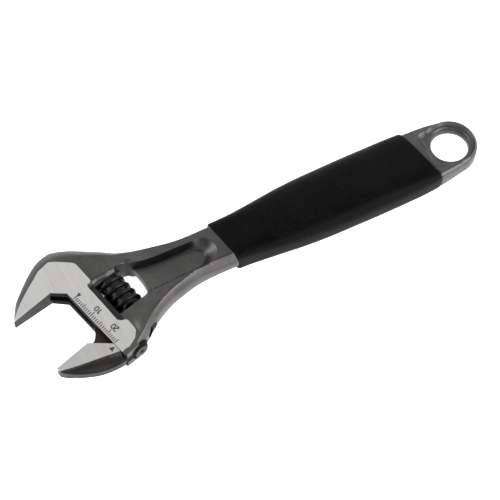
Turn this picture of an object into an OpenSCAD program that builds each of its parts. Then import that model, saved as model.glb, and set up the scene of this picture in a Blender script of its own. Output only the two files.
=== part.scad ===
// Adjustable wrench, 200 mm class, with a soft sleeve on its handle.
//
// Frame: millimetres. The origin is the centre of the hanging hole, on the wrench's mid-plane.
// +X runs along the handle to the head, +Y to the movable jaw's side, and +Z out of the front face.
//
// Jaw frame: m runs out along the gripping faces from the throat wall to the jaw tips, and n runs in
// the opening direction from the fixed jaw's gripping face. It is turned by jaw_angle about +Z.

/* [Jaws] */
// Angle between the handle and the gripping faces
jaw_angle = 15; // [14.5:0.1:15.5]
// Distance from the throat wall to the jaw tips
jaw_reach = 22.9; // [22:0.1:24]
// Distance between the gripping faces as modelled
opening = 26.8; // [24:0.1:27]
// Thickness across the jaw tips
tip_t = 5.1; // [4.8:0.1:5.4]
// Slope of each ground face, from the tips to the head
face_slope = 5.8; // [5.4:0.1:6.2]
// Size of the corner cut between the fixed jaw and the throat wall
throat_cut = 4.8; // [4:0.1:6]
// Size of the corner cut on the movable jaw
jaw_cut = 7.2; // [6:0.1:7.4]

/* [Head] */
// Distance along the handle from the hanging hole to the throat corner
head_x = 172.8; // [170:0.1:175]
// Sideways offset of the throat corner from the handle's axis
head_y = -10.2; // [-10.6:0.1:-9.8]
// Thickness of the head and the neck
head_t = 12.4; // [12.2:0.1:12.8]
// Distance from the fixed jaw's face to the head's lower edge
head_reach = 41.4; // [41:0.1:42]

/* [Rack and worm] */
// Diameter of the round rack
rack_d = 8.8; // [8.6:0.1:9]
// Distance of the rack's axis behind the throat wall
rack_back = 7.2; // [7.1:0.1:7.3]
// Radial clearance of the rack in its channel
rack_clear = 0.08; // [0.05:0.01:0.1]
// Thickness of the web between the jaw and the rack
web_t = 3.2; // [2.8:0.1:3.6]
// Distance between two rack teeth, which is the worm's pitch
pitch = 3.5; // [3.45:0.01:3.55]
// Outside diameter of the worm
worm_d = 12; // [11.8:0.1:12.1]
// Diameter of the worm between its threads
worm_core_d = 8.2; // [7.8:0.1:8.4]
// Length of the worm
worm_len = 14.4; // [14.2:0.1:14.6]
// Distance of the worm's axis behind the throat wall
worm_back = 16.4; // [16.3:0.1:16.6]
// Diameter of the worm's axle pin
pin_d = 3; // [2.8:0.1:3.2]
// Diameter of the pin's head
pin_head_d = 5.4; // [5:0.1:5.8]

/* [Handle] */
// Thickness of the hanging ring
ring_t = 6.8; // [6:0.1:8]
// Radius of the hanging ring
ring_r = 11.5; // [11.4:0.1:12]
// Radius of the hanging hole
hole_r = 7.6; // [7:0.1:8]
// Start of the sleeve on the handle's axis
sleeve_x0 = 14.2; // [13.8:0.1:14.6]
// End of the sleeve on the handle's axis
sleeve_x1 = 106; // [105:0.1:107]
// Slant of both sleeve ends from square
sleeve_slant = 13; // [11:0.5:15]
// Thickness of the sleeve's wall at its sides
sleeve_wall = 1.8; // [1.5:0.1:2.2]
// Gap between the sleeve and the handle core
sleeve_gap = 0.14; // [0.12:0.01:0.2]

/* [Hidden] */
$fn = 64;
forge_colour = "dimgray";
jaw_colour = "silver";
worm_colour = [0.16, 0.15, 0.15];
sleeve_colour = [0.1, 0.1, 0.11];
// Longer than anything that it cuts through
through = 80;

// Heights of the forging's outline: full width up to rim_z, drawn in above it
rim_z = 2.0;
// The side towards the movable jaw is upright for longer
lower_rim_z = 3.2;
crown_z = head_t / 2;

// Window in the head that the worm turns in, in the jaw frame
window_n0 = 9.6;
window_n1 = 26.0;
window_m1 = -9.9;
// The worm and its thread
worm_n0 = window_n0 + 0.2;
thread_steps = 20;
thread_turns = 3.4;
thread_root_w = 1.05;
thread_n0 = worm_n0 + worm_len / 2 - pitch * thread_turns / 2;
// Pocket for the spring in the worm's end
pocket_r = 2.6;
pocket_depth = 3.6;
spring_wire = 0.5;
spring_r = 2.05;
// The rack, along n from the movable jaw's gripping face
rack_n0 = -11.5;
rack_n1 = 15.3;
tooth_depth = 1.7;
rack_r = rack_d / 2;
slot_t = web_t + 0.5;
// How far the core under the sleeve is drawn in at its crown
core_inset = 6.6;
// The same for the space inside the sleeve
cavity_inset = 4.6;
// Gap between an end of the sleeve and the shoulder it faces
end_gap = 0.25;
// Chamfer on the hanging hole's edges
hole_chamfer = 1.6;
// Flange around the movable jaw's outer side
flange_t = 3.6;
// Gap between the movable jaw and the head
jaw_gap = 0.25;
// The handle's axis lies a little towards the movable jaw from the hanging hole
handle_y = 0.3;
panel_floor_z = 2.1;

// ---- curves ----

// One point of a Catmull-Rom span from b to c
function cr_point(a, b, c, d, t) =
    0.5 * (2 * b + (c - a) * t + (2 * a - 5 * b + 4 * c - d) * t * t
        + (3 * b - a - 3 * c + d) * t * t * t);
function at(p, i) = p[max(0, min(len(p) - 1, i))];
// A smooth open curve through the points p, with steps parts to each span
function smooth(p, steps = 4) = concat(
    [for (i = [0 : len(p) - 2], k = [0 : steps - 1])
        cr_point(at(p, i - 1), p[i], p[i + 1], at(p, i + 2), k / steps)],
    [p[len(p) - 1]]
);
function reverse(p) = [for (i = [len(p) - 1 : -1 : 0]) p[i]];
function flat(p) = [for (q = p) [q[0], q[1]]];

// ---- frames ----

// A point of the jaw frame, in the handle's frame; a third value is carried along
function from_jaw(p) = [
    head_x + p[0] * cos(jaw_angle) - p[1] * sin(jaw_angle),
    head_y + p[0] * sin(jaw_angle) + p[1] * cos(jaw_angle),
    p[2]
];
function all_from_jaw(list) = [for (p = list) from_jaw(p)];
module in_jaw_frame(n = 0) {
    translate([head_x, head_y, 0]) rotate(jaw_angle) translate([0, n, 0]) children();
}
// Turns a solid built along +Z so that it runs along +n, with its +X still along m
module along_n() {
    rotate([-90, 0, 0]) children();
}

// ---- body ----

// The outline's points are [x, y, inset]: inset is how far the outline is drawn in at the crown.
function upper_edge() = concat(
    smooth(all_from_jaw([
        [jaw_reach, -0.5, 0.2], [17.6, -6.3, 2.4], [12.4, -9.7, 3.6], [7.9, -12.3, 4.2], [3.8, -14.3, 4.4],
        [-0.3, -15.6, 4.4], [-4.5, -15.8, 4.4], [-7.9, -14.9, 4.4], [-13.8, -10.7, 4.4], [-19.5, -5.1, 3.8],
        [-25.9, 1.1, 3.0]
    ])),
    smooth([
        [141.5, -13.4, 2.4], [137, -12.0, 2.0], [131, -10.6, 1.8], [124.8, -9.5, 1.8], [118, -9.1, 1.8],
        [slanted(sleeve_x1, -9.3) + end_gap, -9.3, 1.8]
    ])
);
function lower_edge() = concat(
    smooth([
        [slanted(sleeve_x1, 10.4) + end_gap, 10.4, 1.8], [112, 10.2, 1.8], [118.8, 10.3, 1.8],
        [123.5, 10.8, 1.8], [128.5, 12, 1.8], [133.7, 13.6, 1.8], [139.3, 16.2, 1.8], [143.6, 18.9, 1.8]
    ]),
    smooth(all_from_jaw([[-17.0, 37.2, 1.8], [-13, 39.2, 1.8], [-8.0, head_reach - 0.3, 1.6]]))
);
// Where a slanted end of the sleeve crosses the handle at a distance y from the axis
function slanted(x, y) = x - tan(sleeve_slant) * y;
// One side of the core that the sleeve covers; spare lengthens it past both ends of the sleeve
function core_edge(side, gap = 0, spare = 0, inset = core_inset) = smooth([
    for (s = [
        [slanted(sleeve_x1, side * 8) + end_gap + spare, 10.3], [96, 10.8], [87.6, 11.8], [75, 13.3],
        [60, 14.1], [40, 14.2], [slanted(sleeve_x0, side * 11) - end_gap - spare, 13.4]
    ]) [s[0], handle_y + side * (s[1] - sleeve_wall + gap), inset]
], 3);
cavity_edges = [
    core_edge(-1, sleeve_gap, 6, cavity_inset), reverse(core_edge(1, sleeve_gap, 6, cavity_inset))
];
function ring_edge() = concat(
    [[slanted(sleeve_x0, -12.7) - end_gap, -12.7, 1.4], [11.7, -12.6, 1.4], [6.5, -12.4, 1.4]],
    [for (a = [265 : -9.44 : 95]) [ring_r * cos(a), ring_r * sin(a), 1.4]],
    [[5.5, 12.6, 1.4], [slanted(sleeve_x0, 13.2) - end_gap, 13.2, 1.4]]
);
function jaw_edge() = all_from_jaw([
    [0, head_reach, 0], [0, throat_cut, 0], [throat_cut, 0, 0], [jaw_reach, 0, 0]
]);
drafted_edges = [upper_edge(), core_edge(-1), ring_edge(), reverse(core_edge(1))];
outline = [for (edge = concat(drafted_edges, [lower_edge(), jaw_edge()])) each edge];
// An open stretch of the outline drawn in by a share of each point's inset
function drawn_in(p, share) = [
    for (i = [0 : len(p) - 1]) let(
        d = at(p, i + 1) - at(p, i - 1),
        k = share * p[i][2] / norm([d[0], d[1]])
    ) [p[i][0] + d[1] * k, p[i][1] - d[0] * k]
];
function at_height(p, z) = [for (q = p) [q[0], q[1], z]];
// What is cut away along a stretch of the outline, to draw it in between the rim and the crown
module draft_cut(edge, rim = rim_z) {
    over = 1.3;
    under = 0.08;
    count = len(edge);
    rise = crown_z - rim;
    inner = drawn_in(edge, over);
    outer = drawn_in(edge, -under);
    for (side = [0, 1]) mirror([0, 0, side]) polyhedron(
        points = concat(
            at_height(inner, rim + over * rise), at_height(outer, rim + over * rise),
            at_height(outer, rim - under * rise)
        ),
        faces = concat(
            [[0, 2 * count, count], [count - 1, 2 * count - 1, 3 * count - 1]],
            [for (k = [0 : 2], i = [0 : count - 2]) let(n = (k + 1) % 3)
                [k * count + i, n * count + i, n * count + i + 1, k * count + i + 1]]
        )
    );
}
// Side view of the forging: half its thickness along the handle
side_stations = [
    [-20, ring_t / 2], [8.5, ring_t / 2], [11.5, 5.0], [20, 4.9], [60, 6.0], [101, 5.0],
    [107, 5.7], [124, head_t / 2], [230, head_t / 2]
];
module side_slab(gap = 0) {
    rotate([90, 0, 0]) linear_extrude(through, center = true) polygon(concat(
        [for (s = side_stations) [s[0], s[1] + gap]],
        [for (s = reverse(side_stations)) [s[0], -s[1] - gap]]
    ));
}
// The space between the two ground faces of the jaws, from m0 to m1
module ground_slab(m0, m1) {
    half0 = tip_t / 2 + tan(face_slope) * (jaw_reach - m0);
    half1 = tip_t / 2 + tan(face_slope) * (jaw_reach - m1);
    rotate([90, 0, 0]) linear_extrude(3 * through, center = true)
        polygon([[m0, half0], [m1, half1], [m1, -half1], [m0, -half0]]);
}
module window_outline() {
    polygon(concat(
        [[window_m1, window_n0], [window_m1, window_n1]],
        flat(smooth([[-23.0, window_n1], [-25.6, 23.6], [-26.9, 20], [-27.4, 16], [-27.2, 12.4],
            [-25.6, window_n0]]))
    ));
}
// Recess between the two rails of the neck, with a round end
module panel_outline() {
    bowl_x = 115.5;
    bowl_y = 1.6;
    bowl_r = 6.0;
    polygon(concat(
        flat(smooth([[147, -7.4], [144, -6.6], [140.5, -5.6], [135.7, -4.75], [125, -4.5],
            [bowl_x, bowl_y - bowl_r]])),
        [for (a = [260 : -10 : 100]) [bowl_x + bowl_r * cos(a), bowl_y + bowl_r * sin(a)]],
        flat(smooth([[bowl_x, bowl_y + bowl_r], [125, 7.8], [135, 8.1], [141.7, 8.3], [147, 9.4]]))
    ));
}
// The forging is lower around the window than the ground land, and rises to the neck
module window_recess() {
    edge_m = -7.5;
    floor_z = 5.0;
    rise_angle = 2.9;
    for (side = [0, 1]) mirror([0, 0, side])
        translate([edge_m, 0, floor_z]) rotate([0, rise_angle, 0]) translate([-edge_m, 0, 0])
            linear_extrude(through) polygon([
                [edge_m, 7.3], [-12.5, 7.7], [-16.5, 9.2], [-28, 9.4], [-31, 16], [-29, 25], [-22, 31],
                [-14, 33.5], [-10.2, 34.1], [-10.3, 30.6], [-8.2, 28.6], [edge_m, 27.3]
            ]);
}
module rack_channel() {
    translate([-rack_back, rack_n0 - 0.9, 0]) along_n() cylinder(r = rack_r + rack_clear, h = 70);
    // Slot for the web; its end also takes the web's shoulder when the jaws are closed
    linear_extrude(slot_t, center = true)
        polygon([[-rack_back, -6.6], [0.3, -6.6], [5.8, 0.6], [5.8, 6], [1, 8], [1, 60], [-rack_back, 60]]);
}
module pin_hole() {
    translate([-worm_back, 5.4, 0]) along_n() cylinder(d = pin_d, h = 50);
    translate([-worm_back, 34.6, 0]) along_n() cylinder(d = pin_head_d + 0.6, h = 20);
}
// The hanging hole with wide chamfers
module hanging_hole() {
    bore_z = ring_t / 2 - hole_chamfer;
    cut = hole_chamfer + 1;
    rotate_extrude() polygon([
        [0, -bore_z - cut], [hole_r + cut, -bore_z - cut], [hole_r, -bore_z],
        [hole_r, bore_z], [hole_r + cut, bore_z + cut], [0, bore_z + cut]
    ]);
}
module body() color(forge_colour) {
    difference() {
        intersection() {
            linear_extrude(2 * crown_z, center = true) polygon(flat(outline));
            side_slab();
            in_jaw_frame() ground_slab(-200, 40);
        }
        for (edge = drafted_edges) draft_cut(edge);
        draft_cut(lower_edge(), lower_rim_z);
        hanging_hole();
        in_jaw_frame() {
            linear_extrude(through, center = true) window_outline();
            window_recess();
            rack_channel();
            pin_hole();
        }
        for (side = [0, 1]) mirror([0, 0, side])
            translate([0, 0, panel_floor_z]) linear_extrude(through) panel_outline();
    }
}

// ---- movable jaw ----

// Outline of the jaw at its mid-plane, where a narrow flange stands out of the ground part
module jaw_outline() {
    polygon(concat(
        [[jaw_reach, 0], [jaw_cut + jaw_gap, 0], [jaw_gap, jaw_cut], [jaw_gap, 14.9]],
        flat(smooth([[2, 14.8], [5.8, 14.0], [10.8, 12.2], [16.2, 8.8], [21.2, 4.4], [jaw_reach - 0.1, 2.2]]))
    ));
}
module jaw_ground_outline() {
    polygon([
        [jaw_reach, 0], [jaw_cut + jaw_gap, 0], [jaw_gap, jaw_cut], [jaw_gap, 11.6],
        [7.9, 8.3], [15.4, 5.2], [jaw_reach - 0.3, 1.8]
    ]);
}
module rack_teeth_cut() {
    lead_angle = atan(pitch / (PI * worm_d * 0.87));
    tip_m = -rack_back - rack_r;
    root_m = tip_m + tooth_depth;
    for (k = [1 : 9])
        translate([0, thread_n0 - opening + pitch * k, 0]) rotate([lead_angle, 0, 0])
            linear_extrude(14, center = true) polygon([
                [tip_m - 1, 1.5], [tip_m - 1, -1.5], [tip_m, -1.2], [root_m, -0.65],
                [root_m, 0.65], [tip_m, 1.2]
            ]);
}
module movable_jaw() color(jaw_colour) {
    in_jaw_frame(opening) {
        intersection() {
            union() {
                linear_extrude(through, center = true) jaw_ground_outline();
                linear_extrude(flange_t, center = true) jaw_outline();
            }
            ground_slab(-10, 40);
        }
        // Web in the slot, with a shoulder where it meets the gripping face
        linear_extrude(web_t, center = true)
            polygon([[-rack_back, -6.0], [-0.3, -6.0], [0.8, -4.0], [2.2, -1.9], [4.4, 0.1], [9, 1],
                [9, 9], [2, 14.4], [-rack_back, 14.4]]);
        difference() {
            translate([-rack_back, rack_n0, 0]) along_n() cylinder(r = rack_r, h = rack_n1 - rack_n0);
            rack_teeth_cut();
        }
    }
}

// ---- worm ----

// Section of the thread: [radius, half width]
thread_section = [[worm_core_d / 2 - 0.3, thread_root_w], [4.7, 0.9], [5.5, 0.62], [worm_d / 2, 0.26]];
function thread_ring(angle, n) = let(
    side = [for (s = thread_section) [s[0], -s[1]]],
    other = [for (s = reverse(thread_section)) s],
    section = concat(side, other)
) [for (s = section) [s[0] * cos(angle), n + s[1], -s[0] * sin(angle)]];
// Left-hand thread about the n axis; at a rack tooth the angle is a whole number of turns
module thread() {
    count = 2 * len(thread_section);
    steps = round(thread_steps * thread_turns);
    rings = [for (i = [0 : steps]) let(turn = i / thread_steps)
        thread_ring(-360 * turn, thread_n0 + pitch * turn)];
    polyhedron(
        points = [for (r = rings) each r],
        faces = concat(
            [[for (i = [0 : count - 1]) i]],
            [[for (i = [count - 1 : -1 : 0]) steps * count + i]],
            [for (k = [0 : steps - 1], i = [0 : count - 1]) let(j = (i + 1) % count)
                [k * count + i, (k + 1) * count + i, (k + 1) * count + j, k * count + j]]
        )
    );
}
module worm() color(worm_colour) {
    in_jaw_frame() translate([-worm_back, 0, 0]) difference() {
        union() {
            translate([0, worm_n0, 0]) along_n() cylinder(d = worm_core_d, h = worm_len);
            thread();
        }
        translate([0, worm_n0 - 1, 0]) along_n() cylinder(r = pin_d / 2 + 0.06, h = worm_len + 2);
        translate([0, worm_n0 + worm_len - pocket_depth, 0]) along_n() cylinder(r = pocket_r, h = 10);
    }
}
module worm_pin() color("gray") {
    in_jaw_frame() translate([-worm_back, 0, 0]) {
        difference() {
            union() {
                translate([0, 5.6, 0]) along_n() cylinder(d = pin_d, h = 31);
                translate([0, 34.7, 0]) along_n() cylinder(d = pin_head_d, h = 2.2);
            }
            translate([0, 36.9, 0]) cube([0.9, 2.2, 10], center = true);
        }
    }
}
module worm_spring() color("darkgray") {
    spring_n0 = worm_n0 + worm_len - pocket_depth + spring_wire / 2 + 0.05;
    spring_n1 = window_n1 - spring_wire / 2 - 0.05;
    coils = 4;
    steps = 14;
    sides = 8;
    rings = coils * steps;
    in_jaw_frame() translate([-worm_back, 0, 0]) polyhedron(
        points = [for (i = [0 : rings], s = [0 : sides - 1]) let(
            a = 360 * i / steps,
            b = 360 * s / sides,
            r = spring_r + spring_wire / 2 * cos(b)
        ) [r * cos(a), spring_n0 + (spring_n1 - spring_n0) * i / rings + spring_wire / 2 * sin(b), r * sin(a)]],
        faces = concat(
            [[for (s = [0 : sides - 1]) s]],
            [[for (s = [sides - 1 : -1 : 0]) rings * sides + s]],
            [for (i = [0 : rings - 1], s = [0 : sides - 1]) let(t = (s + 1) % sides)
                [i * sides + s, (i + 1) * sides + s, (i + 1) * sides + t, i * sides + t]]
        )
    );
}

// ---- sleeve ----

// Stations of the sleeve: [x, half width, half thickness]
sleeve_stations = smooth([
    [4, 12.4, 5.6], [12, 13.2, 6.4], [19, 13.8, 7.2], [28, 14.1, 8.0], [40, 14.2, 8.6], [50, 14.2, 8.7],
    [63, 14.0, 8.5], [75, 13.3, 8.0], [87.6, 11.9, 7.3], [97, 10.8, 6.8], [104, 10.4, 6.5], [116, 10.0, 6.2]
], 2);
sleeve_sides = 32;
// Rounded section between an ellipse and a box
function sleeve_section(a) = let(c = cos(a), s = sin(a), e = 0.78)
    [sign(c) * pow(abs(c), e), sign(s) * pow(abs(s), e)];
module sleeve_solid() {
    count = len(sleeve_stations);
    polyhedron(
        points = [for (st = sleeve_stations, k = [0 : sleeve_sides - 1])
            let(q = sleeve_section(360 * k / sleeve_sides)) [st[0], handle_y + st[1] * q[0], st[2] * q[1]]],
        faces = concat(
            [[for (k = [0 : sleeve_sides - 1]) k]],
            [[for (k = [sleeve_sides - 1 : -1 : 0]) (count - 1) * sleeve_sides + k]],
            [for (i = [0 : count - 2], k = [0 : sleeve_sides - 1]) let(j = (k + 1) % sleeve_sides)
                [i * sleeve_sides + k, (i + 1) * sleeve_sides + k, (i + 1) * sleeve_sides + j,
                    i * sleeve_sides + j]]
        )
    );
}
// The sleeve runs between two parallel slanted cuts
module between_sleeve_ends() {
    reach = 30;
    shift = reach * tan(sleeve_slant);
    linear_extrude(through, center = true) polygon([
        [sleeve_x0 + shift, -reach], [sleeve_x1 + shift, -reach],
        [sleeve_x1 - shift, reach], [sleeve_x0 - shift, reach]
    ]);
}
module grip_sleeve() color(sleeve_colour) {
    difference() {
        intersection() {
            sleeve_solid();
            between_sleeve_ends();
        }
        difference() {
            intersection() {
                side_slab(sleeve_gap);
                linear_extrude(through, center = true)
                    polygon(flat(concat(cavity_edges[0], cavity_edges[1])));
            }
            for (edge = cavity_edges) draft_cut(edge);
        }
    }
}

body();
movable_jaw();
worm();
worm_pin();
worm_spring();
grip_sleeve();
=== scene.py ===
import math

import bmesh
import bpy
import numpy as np
from mathutils import Matrix, Vector
from mathutils.geometry import delaunay_2d_cdt


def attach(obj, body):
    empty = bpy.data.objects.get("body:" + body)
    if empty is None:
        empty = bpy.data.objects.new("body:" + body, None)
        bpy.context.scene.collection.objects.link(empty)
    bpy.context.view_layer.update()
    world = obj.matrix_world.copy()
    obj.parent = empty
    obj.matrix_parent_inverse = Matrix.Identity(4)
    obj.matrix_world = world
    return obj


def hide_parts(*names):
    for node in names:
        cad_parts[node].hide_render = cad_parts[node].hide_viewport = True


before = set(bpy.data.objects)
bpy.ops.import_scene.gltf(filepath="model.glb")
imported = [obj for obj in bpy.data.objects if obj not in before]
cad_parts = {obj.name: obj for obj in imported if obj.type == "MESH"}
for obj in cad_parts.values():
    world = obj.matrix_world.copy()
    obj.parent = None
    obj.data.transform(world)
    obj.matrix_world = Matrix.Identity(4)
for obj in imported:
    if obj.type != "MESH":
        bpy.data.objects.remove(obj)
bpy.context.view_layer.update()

# All shapes below are in millimetres, in the CAD's frame, until they are made into meshes.
MM = 0.001
CREASE = 38  # degrees: sharper edges of the steel pieces stay sharp
JAW_ANGLE = math.radians(15)
HEAD = np.array([172.8, -10.2])
OPENING = 26.8
REACH = 22.9
PITCH = 3.5
RACK_M = -7.2
WORM_M = -16.4
WORM_N0 = 9.8
WORM_LEN = 14.4
THREAD_N0 = WORM_N0 + WORM_LEN / 2 - PITCH * 3.4 / 2
HANDLE_Y = 0.3
SLANT = math.tan(math.radians(13))
COS, SIN = math.cos(JAW_ANGLE), math.sin(JAW_ANGLE)


# ---- curves and frames ----

def smooth(points, steps):
    """A Catmull-Rom curve through rows of any width."""
    p = np.asarray(points, float)
    out = []
    for i in range(len(p) - 1):
        a, b, c, d = p[max(i - 1, 0)], p[i], p[i + 1], p[min(i + 2, len(p) - 1)]
        for k in range(steps):
            t = k / steps
            out.append(0.5 * (2 * b + (c - a) * t + (2 * a - 5 * b + 4 * c - d) * t * t
                              + (3 * b - a - 3 * c + d) * t ** 3))
    out.append(p[-1])
    return np.array(out)


def from_jaw(points):
    """Rows [m, n, ...] of the jaw frame to rows [x, y, ...]."""
    p = np.array(points, float)
    m, n = p[:, 0].copy(), p[:, 1].copy()
    p[:, 0] = HEAD[0] + m * COS - n * SIN
    p[:, 1] = HEAD[1] + m * SIN + n * COS
    return p


def to_jaw(x, y):
    return ((x - HEAD[0]) * COS + (y - HEAD[1]) * SIN, -(x - HEAD[0]) * SIN + (y - HEAD[1]) * COS)


def divide(line, step, closed=False):
    """The line with extra points, so that no stretch is much longer than step."""
    p = np.asarray(line, float)
    ends = np.vstack([p, p[:1]]) if closed else p
    out = []
    for a, b in zip(ends[:-1], ends[1:]):
        count = max(1, int(math.ceil(np.linalg.norm((b - a)[:2]) / step)))
        out += [a + (b - a) * k / count for k in range(count)]
    if not closed:
        out.append(ends[-1])
    return np.array(out)


def distance(points, line, closed=False, values=None):
    """Distance of each point from a line, and the line's values carried to the nearest place."""
    p = np.asarray(line, float)
    if closed:
        p = np.vstack([p, p[:1]])
    a, b = p[:-1, :2], p[1:, :2]
    ab = b - a
    length2 = np.maximum((ab ** 2).sum(1), 1e-12)
    best, carried = [], []
    for part in np.array_split(points[:, :2], max(1, len(points) // 2000)):
        ap = part[:, None, :] - a[None]
        t = np.clip((ap * ab[None]).sum(2) / length2, 0, 1)
        gap = np.linalg.norm(ap - t[..., None] * ab[None], axis=2)
        k = gap.argmin(1)
        row = np.arange(len(part))
        best.append(gap[row, k])
        if values is not None:
            tk = t[row, k][:, None]
            carried.append(p[k][:, values] * (1 - tk) + p[k + 1][:, values] * tk)
    return (np.concatenate(best), np.concatenate(carried)) if values is not None else np.concatenate(best)


def inside(points, loop):
    p = np.asarray(loop, float)[:, :2]
    q = np.roll(p, -1, 0)
    x, y = points[:, 0][:, None], points[:, 1][:, None]
    straddles = (p[:, 1] > y) != (q[:, 1] > y)
    rise = np.where(q[:, 1] == p[:, 1], 1e-12, q[:, 1] - p[:, 1])
    return (straddles & (x < (q[:, 0] - p[:, 0]) * (y - p[:, 1]) / rise + p[:, 0])).sum(1) % 2 == 1


def step01(value):
    t = np.clip(value, 0, 1)
    return t * t * (3 - 2 * t)


def soft_min(a, b, k):
    return 0.5 * (a + b - np.sqrt((a - b) ** 2 + k * k))


# ---- meshes ----

def hex_grid(lo, hi, step):
    rows = np.arange(lo[1], hi[1], step * 0.866)
    out = []
    for i, y in enumerate(rows):
        xs = np.arange(lo[0] + (i % 2) * step / 2, hi[0], step)
        out.append(np.stack([xs, np.full_like(xs, y)], 1))
    return np.vstack(out)


def flat_mesh(outline, holes, lines, fill):
    """Triangles over the outline less its holes, with every line kept as edges."""
    verts, edges = [], []
    for loop, closed in [(outline, True)] + [(h, True) for h in holes] + lines:
        start = len(verts)
        verts += [tuple(q[:2]) for q in loop]
        count = len(loop)
        edges += [(start + i, start + (i + 1) % count) for i in range(count if closed else count - 1)]
    verts += [tuple(q) for q in fill]
    co, _, faces, _, _, _ = delaunay_2d_cdt([Vector(v) for v in verts], edges, [], 0, 1e-5)
    co = np.array([tuple(v) for v in co])
    faces = np.array([tuple(f) for f in faces])
    mid = co[faces].mean(1)
    keep = inside(mid, outline)
    for hole in holes:
        keep &= ~inside(mid, hole)
    faces = faces[keep]
    a, b, c = co[faces[:, 0]], co[faces[:, 1]], co[faces[:, 2]]
    turned = (b - a)[:, 0] * (c - a)[:, 1] - (b - a)[:, 1] * (c - a)[:, 0]
    faces[turned < 0] = faces[turned < 0][:, ::-1]
    return co, faces[np.abs(turned) > 1e-9]


def new_object(name, verts, faces, marks=None, sharp=40):
    mesh = bpy.data.meshes.new(name)
    mesh.from_pydata([tuple(v) for v in np.asarray(verts) * MM], [],
                     [tuple(int(i) for i in f) for f in faces])
    if marks is not None:
        mesh.polygons.foreach_set("material_index", np.asarray(marks, np.int32))
    obj = bpy.data.objects.new(name, mesh)
    bpy.context.scene.collection.objects.link(obj)
    tidy(obj, sharp)
    return obj


def tidy(obj, sharp=40):
    """Welds the mesh, points its faces outwards, and smooths all but its sharp edges."""
    bm = bmesh.new()
    bm.from_mesh(obj.data)
    bmesh.ops.remove_doubles(bm, verts=bm.verts, dist=2e-6)
    bmesh.ops.dissolve_degenerate(bm, edges=bm.edges, dist=1e-7)
    loose = [v for v in bm.verts if not v.link_faces]
    bmesh.ops.delete(bm, geom=loose, context="VERTS")
    bmesh.ops.recalc_face_normals(bm, faces=bm.faces)
    for f in bm.faces:
        f.smooth = True
    for e in bm.edges:
        two = len(e.link_faces) == 2
        e.smooth = two and e.calc_face_angle(0) < math.radians(sharp)
    bm.to_mesh(obj.data)
    bm.free()


def slab_mesh(name, outline, holes, lines, fill, height, mark, wall_mark, sharp=40):
    """A solid with the same face in front and at the back, height(points) from the mid-plane."""
    co, faces = flat_mesh(outline, holes, lines, fill)
    h = np.maximum(height(co), 0)
    count = len(co)
    verts = np.vstack([np.column_stack([co, h]), np.column_stack([co, -h])])
    marks = list(mark(co[faces].mean(1)))
    used = {}
    for a, b, c in faces:
        for e in ((a, b), (b, c), (c, a)):
            used[e] = True
    walls = [(a, b) for a, b in used if (b, a) not in used]
    all_faces = [tuple(f) for f in faces] + [tuple(i + count for i in f[::-1]) for f in faces]
    middle = np.array([(co[a] + co[b]) / 2 for a, b in walls])
    wall_marks = wall_mark(middle)
    all_marks = marks + marks + list(wall_marks)
    all_faces += [(b, a, a + count, b + count) for a, b in walls]
    return new_object(name, verts, all_faces, all_marks, sharp)


def prism(name, outline, z0, z1):
    count = len(outline)
    verts = [(q[0], q[1], z0) for q in outline] + [(q[0], q[1], z1) for q in outline]
    faces = [tuple(range(count))[::-1], tuple(range(count, 2 * count))]
    faces += [(i, (i + 1) % count, count + (i + 1) % count, count + i) for i in range(count)]
    return new_object(name, verts, faces)


def rod(name, m, n0, n1, radius, sides=64, stations=None):
    """A turned piece along +n at m, z = 0; stations are [n, radius]."""
    rows = stations or [[n0, radius], [n1, radius]]
    verts, faces = [], []
    for n, r in rows:
        for k in range(sides):
            a = 2 * math.pi * k / sides
            verts.append((m + r * math.cos(a), n, r * math.sin(a)))
    for i in range(len(rows) - 1):
        for k in range(sides):
            j = (k + 1) % sides
            faces.append((i * sides + k, i * sides + j, (i + 1) * sides + j, (i + 1) * sides + k))
    faces += [tuple(range(sides)), tuple(range((len(rows) - 1) * sides, len(rows) * sides))[::-1]]
    verts = from_jaw(np.array(verts))
    return new_object(name, verts, faces)


def boolean(obj, tool, operation):
    mod = obj.modifiers.new("cut", "BOOLEAN")
    mod.operation = operation
    mod.solver = "EXACT"
    mod.object = tool
    bpy.context.view_layer.objects.active = obj
    with bpy.context.temp_override(object=obj, active_object=obj, selected_objects=[obj]):
        bpy.ops.object.modifier_apply(modifier=mod.name)
    bpy.data.objects.remove(tool)


def bounds_grid(loop, step):
    p = np.asarray(loop)
    return hex_grid(p[:, :2].min(0), p[:, :2].max(0), step)


# ---- materials ----

def nodes_for(name):
    mat = bpy.data.materials.new(name)
    mat.use_nodes = True
    tree = mat.node_tree
    tree.nodes.clear()
    out = tree.nodes.new("ShaderNodeOutputMaterial")
    shader = tree.nodes.new("ShaderNodeBsdfPrincipled")
    tree.links.new(shader.outputs["BSDF"], out.inputs["Surface"])
    coord = tree.nodes.new("ShaderNodeTexCoord")
    return mat, tree, shader, coord


def add(tree, kind, **values):
    node = tree.nodes.new(kind)
    for key, value in values.items():
        if key in node.inputs:
            node.inputs[key].default_value = value
        else:
            setattr(node, key, value)
    return node


def mapped(tree, coord, scale):
    node = add(tree, "ShaderNodeMapping")
    node.inputs["Scale"].default_value = scale
    tree.links.new(coord.outputs["Object"], node.inputs["Vector"])
    return node


def noise(tree, vector, scale, detail=4.0, rough=0.55):
    node = add(tree, "ShaderNodeTexNoise", Scale=scale, Detail=detail, Roughness=rough)
    tree.links.new(vector, node.inputs["Vector"])
    return node


def ramp(tree, fac, stops):
    node = add(tree, "ShaderNodeValToRGB")
    elements = node.color_ramp.elements
    while len(elements) < len(stops):
        elements.new(0.5)
    for e, (at, value) in zip(elements, stops):
        e.position = at
        e.color = (*value, 1) if isinstance(value, tuple) else (value, value, value, 1)
    tree.links.new(fac, node.inputs["Fac"])
    return node


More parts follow.
